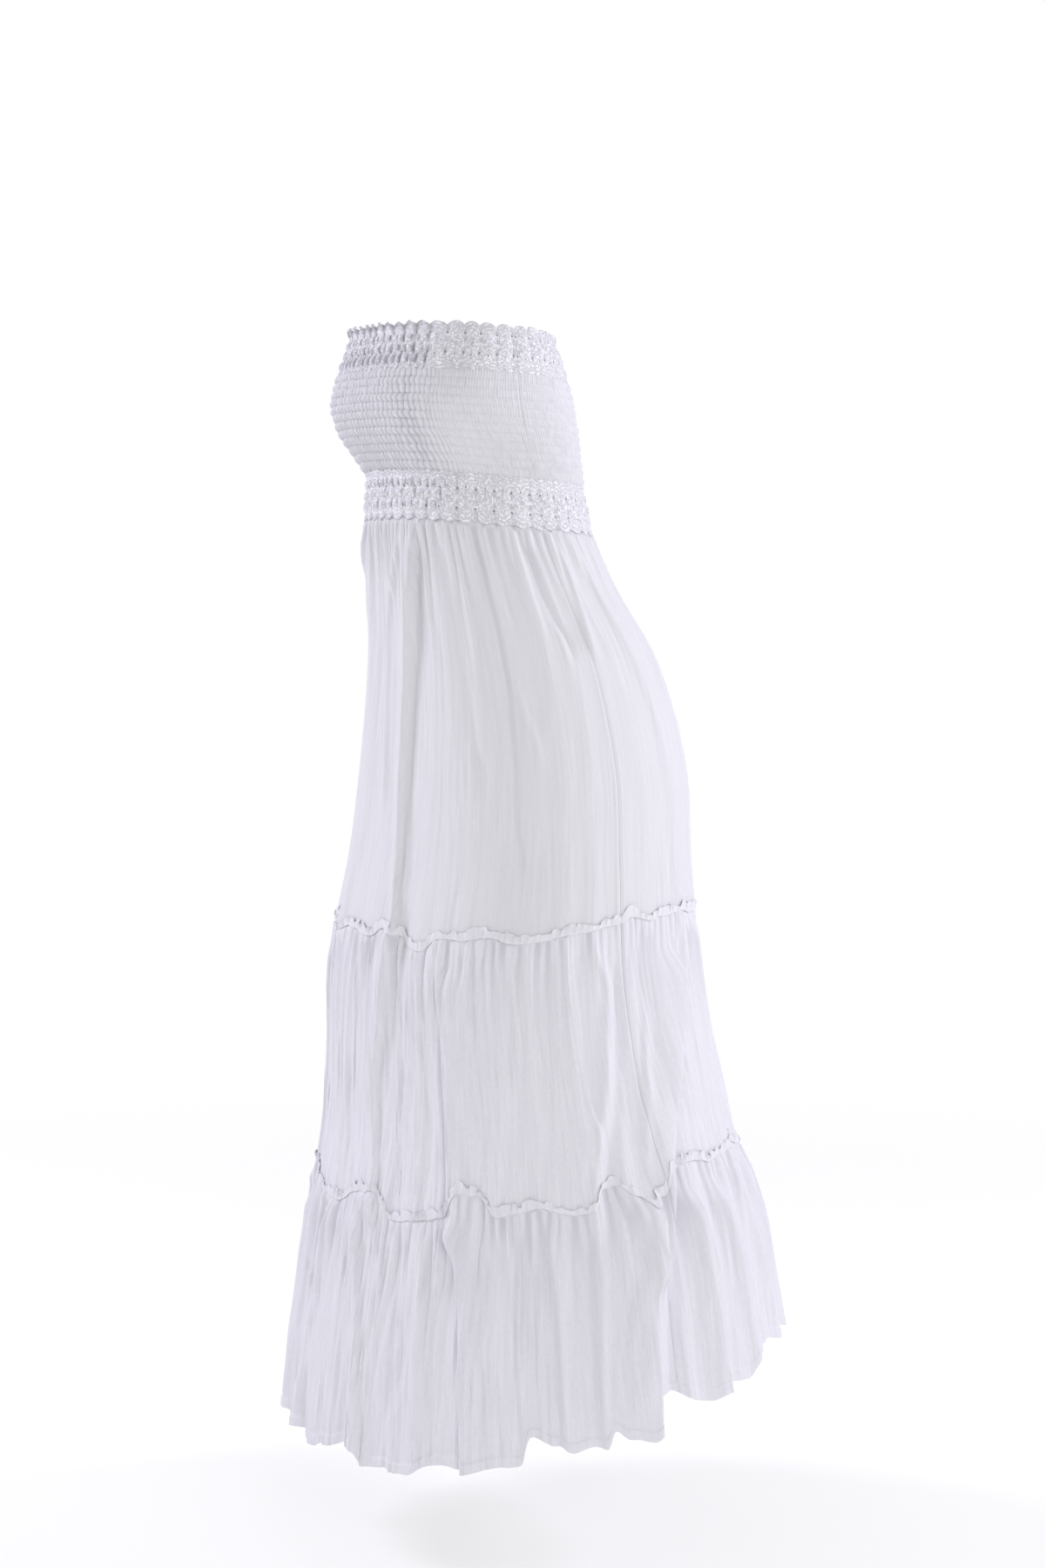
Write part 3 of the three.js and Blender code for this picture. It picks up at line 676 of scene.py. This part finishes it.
HEM = Level(-1082, -994, -958, (
    (-180, 0), (-150, 6), (-120, -8), (-95, 8), (-80, -12), (-62, 10), (-48, -6), (-30, -10),
    (-16, -4), (-7, -12), (-2, 0), (8, 16), (11, -6), (22, -6), (30, 3), (42, -6), (51, -2),
    (54, 15), (60, 2), (66, -10), (71, -13), (73, -1), (76, -12), (80, -16), (83, -8), (86, 10),
    (97, -12), (100, -5), (111, -12), (116, 10), (131, 2), (150, -6), (165, 6), (180, 0)))

# A main fold follows a path of heights in mm and turns in degrees. Its rise, its width before and
# after the crest and how far it leans over are in mm. Its partner on the dress's right side is far
# times as high and lies shift degrees farther round.
Fold = collections.namedtuple("Fold", "path rise before after over far shift", defaults=[0, 0.9, 5])
FOLDS = [
    # the upper tier
    Fold([(-104, 20), (-150, 14), (-194, 10), (-250, 7), (-304, 6), (-378, 5), (-478, 7), (-530, 10)],
         8, 15, 3.5, 3, 0.7, 9),
    Fold([(-110, 23), (-150, 17), (-194, 13), (-304, 9), (-378, 8), (-530, 13)],
         -2.5, 4, 19, 0, 0.7, 9),
    Fold([(-108, 9), (-140, 4), (-176, 0), (-214, -3), (-278, -4), (-380, -2)], 3, 5, 6, 0, 0.0),
    Fold([(-106, 52), (-140, 52), (-184, 54), (-246, 53), (-308, 53), (-414, 53), (-446, 56)],
         -3, 6, 6, 0, 1.1, 3),
    Fold([(-154, 55), (-194, 56), (-246, 56), (-292, 59), (-336, 64)], 2, 5, 5, 0, 0.5, 9),
    Fold([(-114, 80), (-144, 81), (-176, 81), (-206, 82), (-224, 84)], -3, 4, 4, 0, 1.2, -4),
    Fold([(-114, 95), (-158, 96), (-194, 94), (-218, 92)], 4, 5, 4, 0, 0.6, 10),
    Fold([(-106, 41), (-148, 40), (-194, 38), (-256, 36), (-328, 38), (-362, 42)], -2, 7, 6, 0, 1.3, 6),
    Fold([(-110, 104), (-180, 110), (-320, 115), (-520, 118)], 4, 9, 11, 0, 0.8, 2),
    Fold([(-112, 122), (-220, 128), (-360, 133), (-510, 134)], 5, 12, 9, 2, 0.7, 5),
    Fold([(-112, 143), (-190, 146), (-300, 152)], -4, 7, 8, 0, 1.1, -3),
    Fold([(-112, 163), (-230, 160), (-380, 163), (-500, 166)], 4, 9, 10, 0, 1.0, 4),
    # the middle tier
    Fold([(-520, 9), (-594, 6.5), (-630, 6), (-678, 3), (-724, 3), (-772, 5), (-820, 6)],
         9, 20, 6, 4, 0.35, 9),
    Fold([(-548, 12), (-628, 10.5), (-684, 8), (-740, 8.5), (-820, 12)], -3, 6, 14, 0, 0.9, 7),
    Fold([(-560, 30), (-620, 32), (-674, 32), (-728, 32), (-830, 33)], 7, 5, 20, -5, 0.4, 4),
    Fold([(-568, 28), (-674, 30), (-808, 31)], -3, 6, 4, 0, 0.8, 4),
    Fold([(-532, 82), (-552, 84), (-578, 86), (-618, 84), (-662, 82), (-704, 79), (-748, 76), (-796, 73)],
         3.5, 5, 7, 0, 0.6, 8),
    Fold([(-552, 88), (-618, 88), (-704, 83), (-796, 78)], -3, 6, 6, 0, 0.9, 6),
    Fold([(-678, 75), (-700, 76), (-720, 77)], 3, 3, 3, 0, 1.0, -5),
    Fold([(-596, 96), (-638, 94), (-692, 91), (-752, 88)], 3, 4, 5, 0, 1.4, 3),
    Fold([(-546, 113), (-608, 109), (-668, 102), (-720, 96), (-772, 92), (-860, 88)],
         12, 26, 6, 9, 0.8, 6),
    Fold([(-570, 117), (-640, 109), (-720, 100), (-800, 94)], -6, 9, 12, 0, 0.8, 6),
    Fold([(-520, 52), (-610, 50), (-720, 47), (-800, 44)], 3, 10, 6, 0, 1.3, 5),
    Fold([(-540, 66), (-650, 63), (-760, 60)], -3, 8, 8, 0, 1.2, -2),
    Fold([(-515, 131), (-620, 129), (-780, 124)], 7, 18, 9, 3, 0.7, 8),
    Fold([(-520, 150), (-640, 149), (-770, 145)], 6, 11, 16, 0, 1.2, 3),
    Fold([(-515, 170), (-600, 168), (-720, 171)], 7, 15, 10, 2, 0.8, -4),
    # the lower tier
    Fold([(-824, -15), (-896, -15), (-950, -13), (-1008, -14), (-1120, -11)], -6, 11, 11, 0, 0.0),
    Fold([(-826, 0), (-942, 6), (-1120, 9)], 9, 15, 7, 4, 0.8, 8),
    Fold([(-832, 17), (-948, 17), (-1120, 17)], -5, 9, 9, 0, 1.0, 5),
    Fold([(-830, 24), (-948, 25), (-1120, 25)], 8, 12, 9, 2, 0.9, 4),
    Fold([(-816, 33), (-848, 36), (-892, 38), (-942, 39), (-1120, 40)], 9, 6, 20, -6, 0.8, 6),
    Fold([(-818, 50), (-896, 49), (-980, 50), (-1120, 52)], 10, 18, 6, 5, 0.9, 5),
    Fold([(-810, 62), (-920, 63), (-1120, 64)], 8, 9, 14, -3, 0.7, 3),
    Fold([(-800, 72), (-900, 72), (-1120, 71)], 6, 6, 9, 0, 1.2, 6),
    Fold([(-812, 83), (-870, 80), (-930, 76), (-980, 74), (-1100, 73)], -4, 7, 6, 0, 1.0, 4),
    Fold([(-780, 87), (-820, 86), (-882, 84), (-950, 83), (-1050, 81), (-1100, 81)],
         16, 28, 6, 8, 0.7, 7),
    Fold([(-790, 93), (-902, 90), (-1100, 88)], -9, 8, 13, 0, 0.7, 7),
    Fold([(-790, 101), (-856, 101), (-908, 101), (-1100, 100)], 10, 14, 8, 5, 1.0, 4),
    Fold([(-785, 112), (-864, 114), (-964, 115), (-1100, 117)], 11, 12, 16, 0, 0.9, 5),
    Fold([(-780, 123), (-846, 127), (-906, 131), (-1100, 134)], 9, 12, 13, 2, 0.8, 6),
    Fold([(-775, 146), (-900, 147), (-1100, 149)], 12, 18, 13, 0, 1.1, 4),
    Fold([(-770, 162), (-880, 163), (-1100, 164)], 10, 13, 15, 3, 0.8, 5),
    Fold([(-770, 177), (-880, 177), (-1100, 176)], 7, 13, 13, 0, 0.0),
]
FOLD_FADE = 34
FAR_OVER = 0.6
HEM_DROOP = 0.4
SKIRT_WALL = 0.7
SKIRT_INNER_STEP = 3
SKIRT_COLUMNS = 440
SIDE_SEAM_RIDGE = 0.5
SIDE_SEAM_WIDTH = 1.3
SIDE_SEAM_ASIDE = 3.2
HEM_DEPTH = 11
HEM_GROOVE = 0.6
HEM_TURN = 0.5

Wave = collections.namedtuple("Wave", "z height")
WAVES_ROUND = 36
WAVES = [
    Wave(-100, 0.6),
    Wave(-125, 1.0),
    Wave(-240, 0.4),
    Wave(-480, 0.5),
    Wave(-560, 1.2),
    Wave(-740, 1.6),
    Wave(-840, 1.8),
    Wave(-1100, 2.4),
]


def fold_shift(turn, z):
    """How far the main folds and the wide waves move the cloth out, and along the form, in mm."""
    uneven = 0.75 + 0.25 * np.sin(5 * turn + 1)
    spread = 1.3 * np.sin(3 * turn) + 0.8 * np.sin(7 * turn + 2)
    out = column(WAVES, "height", z) * uneven * np.cos(WAVES_ROUND * turn + spread)
    along = 0 * out
    degree = form_step(turn, z)[2] / math.degrees(2 * FORM_STEP)
    for fold in FOLDS:
        heights, places = np.array(fold.path, float)[::-1].T
        shown = smooth_step((heights[-1] + 6 - z) / FOLD_FADE)
        shown = shown * smooth_step((z - heights[0] + FOLD_FADE) / FOLD_FADE)
        for side, size, shift in ((1, 1.0, 0), (-1, fold.far, fold.shift)):
            away = side * turned(turn, side * (np.interp(z, heights, places) + shift)) * degree
            shape = size * shown * np.exp(-(away / np.where(away < 0, fold.before, fold.after)) ** 2)
            out = out + fold.rise * shape
            along = along + side * fold.over * shape * (1 if side > 0 else FAR_OVER)
    return out, along


# The upper tier's gauze hangs nearly flat: its crinkles are broad and faint. The lower tiers' gauze
# keeps deeper ones from the wash, which show as soft upright streaks, with more painted shade in
# their hollows.
smooth_gauze = gauze("cotton_gauze_smooth", 3.6, 0.28, "#e0dfe4", "#ebeaee")
crinkled_gauze = gauze("cotton_gauze_crinkled", 2.8, 0.55, "#e0dfe5", "#f0eff4")

# A tier's gathers lie a pitch apart, as high as its height, and fade out below the seam. The ripple
# is the height of its small uneven waves. All of these are in mm, and the flat size is in metres.
Tier = collections.namedtuple(
    "Tier", "name above upper lower flat pitch height fade ripple rows cloth seed")
TIERS = [
    Tier("tier_1", "smocked_bodice", WAIST, SEAM_ONE, (0.66, 0.44), 13.0, 3.0, 80, 0.3, 66,
         smooth_gauze, 41),
    Tier("tier_2", "gauze_tier_1", SEAM_ONE, SEAM_TWO, (0.86, 0.30), 10.0, 1.7, 70, 0.9, 60,
         crinkled_gauze, 51),
    Tier("tier_3", "gauze_tier_2", SEAM_TWO, HEM, (1.02, 0.26), 10.0, 1.9, 80, 1.1, 63,
         crinkled_gauze, 61),
]


def gather_lift(rng, run, down, tier):
    """The gathers that start at the seam above: ridges a pitch apart that die out at own lengths."""
    lift = np.zeros(np.broadcast(run, down).shape)
    place = rng.uniform(0, tier.pitch)
    while place < run[-1]:
        wide = tier.pitch * rng.uniform(0.17, 0.32)
        fade = tier.fade * rng.choice([0.25, 0.6, 1.3]) * rng.uniform(0.7, 1.3)
        lean = rng.uniform(-0.07, 0.07)
        size = tier.height * rng.uniform(0.4, 1.2)
        across = (run - place - lean * down) / (wide * (1 + 0.005 * down))
        lift += size * np.exp(-across ** 2 - (down / fade) ** 2)
        place += tier.pitch * rng.uniform(0.55, 1.45)
    return lift


for tier in TIERS:
    for half in HALVES:
        rng = np.random.default_rng(tier.seed + (half == "back"))
        is_hem = tier.name == "tier_3"
        middle = (tier.upper.side + tier.lower.side) / 2
        turns, length = even_turns(half, middle, SKIRT_COLUMNS)
        run = np.linspace(0, length, SKIRT_COLUMNS + 1)
        upper = level_at(tier.upper, turns) - SEAM_GAP / 2
        lower = level_at(tier.lower, turns) + (0 if is_hem else SEAM_GAP / 2)
        if is_hem:
            lower = lower - HEM_DROOP * fold_shift(turns, lower)[0]
        deep = float(np.mean(upper - lower))
        shares = np.linspace(0, 1, tier.rows + 1)
        edge = 1 - HEM_DEPTH / deep
        if is_hem:
            hem_rows = [edge + 0.003, edge + 0.007, edge + 0.012, 0.985, 1]
            shares = np.concatenate([np.linspace(0, edge, tier.rows - 4), hem_rows])
        shares = shares[:, None]
        z = upper + (lower - upper) * shares
        down = shares * deep
        out, along = fold_shift(np.broadcast_to(turns, z.shape), z)
        fine = gather_lift(rng, run, down, tier)
        # Painted shade: just below the seam, between the gathers, the cloth is painted darker.
        hollow_shade = smooth_step(down / 4) * np.exp(-down / 45) * (1 - np.clip(5 * fine / tier.height, 0, 1))
        painted_light_level = 0.6 - 0.26 * hollow_shade
        stagger = 3 * (1 + noise(rng, run / 5, 0 * run))
        fine += tier.ripple * noise(rng, run / 8 + 0.02 * down, down / 90 + stagger)
        fine += 0.6 * tier.ripple * noise(rng, run / 3.6 + 0.01 * down, down / 60 + 0.7 * stagger)
        from_side = np.minimum(run, length - run)
        fine *= smooth_step(from_side / 6) * (0.6 + 0.9 * np.abs(np.cos(turns)) ** 1.5)
        out = out + fine * smooth_step(down / 7)
        out = out + SIDE_SEAM_RIDGE * np.exp(-((from_side - SIDE_SEAM_ASIDE) / SIDE_SEAM_WIDTH) ** 2)
        if is_hem:
            groove = np.exp(-((shares - edge) / 0.004) ** 2)
            out = out + HEM_TURN * smooth_step((shares - edge) / 0.008) - HEM_GROOVE * groove
        grid = np.broadcast_to(turns, z.shape)
        outer = cloth_points(grid, z, out, along)
        inner = cloth_points(grid, z, out - SKIRT_WALL, along)
        uv = np.stack([np.broadcast_to(run, z.shape), z], axis=-1) * MM
        step = SKIRT_INNER_STEP
        name = f"gauze_{tier.name}_{half}"
        piece = wall_object(name, outer, inner[::step], uv, uv[::step], tier.cloth, step, painted_light_level)
        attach(piece, "root")
        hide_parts(f"{tier.name}_{half}")


# The frills: at each skirt seam the raw edge of the gathered tier is left outside, so it stands up
# over the seam as a narrow curly ruffle. It is the tier's own gauze, sewn in with the seam.
FRILL_COLUMNS = 560
FRILL_ROWS = 5
FRILL_HEIGHT = 8.5
FRILL_TUCK = 1.6
FRILL_WALL = 0.5
FRILL_PITCH = 8.5
FRILL_CURL = 1.5
FRILL_WRINKLE = 0.6
FRILL_SWING = 2.2
Frill = collections.namedtuple("Frill", "name level flat seed")

# Raw-edged gauze: one loose layer, finely crinkled, and painted the lightest cloth of the dress:
# painted light that offsets the shade round the frill.
raw_gauze_painted_lighter = gauze("cotton_gauze_raw_edge", 2.2, 0.3, "#e2e1e8", "#f3f2f6")
for frill in [Frill("frill_1", SEAM_ONE, (0.74, 0.0105), 71),
              Frill("frill_2", SEAM_TWO, (0.94, 0.0105), 81)]:
    for half in HALVES:
        rng = np.random.default_rng(frill.seed + (half == "back"))
        turns, length = even_turns(half, frill.level.side, FRILL_COLUMNS)
        run = np.linspace(0, length, FRILL_COLUMNS + 1)
        wave = 2 * math.pi * (run / FRILL_PITCH + 0.8 * noise(rng, run / 19, 0 * run))
        tall = 1 + 0.4 * noise(rng, run / 6, 0 * run) + 0.25 * noise(rng, run / 15, 0 * run)
        wander = 1.1 * noise(rng, run / 10, 0 * run)
        curly = 0.6 + 0.4 * noise(rng, run / 12, 0 * run)
        seam = level_at(frill.level, turns)
        share = np.linspace(0, 1, FRILL_ROWS + 1)[::-1, None]
        ends = smooth_step(np.minimum(run, length - run) / 6)
        z = seam - FRILL_TUCK + wander + share * FRILL_HEIGHT * tall
        base, along = fold_shift(np.broadcast_to(turns, z.shape), z)
        curl = share ** 0.8 * ends
        curled = FRILL_CURL * np.sin(wave) + FRILL_WRINKLE * np.sin(2.3 * wave + 2)
        out = base + 0.7 + curl * (1.2 + curly * curled)
        along = along + curl * curly * FRILL_SWING * np.cos(wave)
        grid = np.broadcast_to(turns, z.shape)
        outer = cloth_points(grid, z, out + FRILL_WALL, along)
        inner = cloth_points(grid, z, out, along)
        uv = np.stack([np.broadcast_to(run, z.shape), z], axis=-1) * MM
        piece = wall_object(f"seam_{frill.name}_{half}", outer, inner, uv, uv, raw_gauze_painted_lighter)
        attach(piece, "root")
        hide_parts(f"{frill.name}_{half}")

bpy.context.view_layer.update()
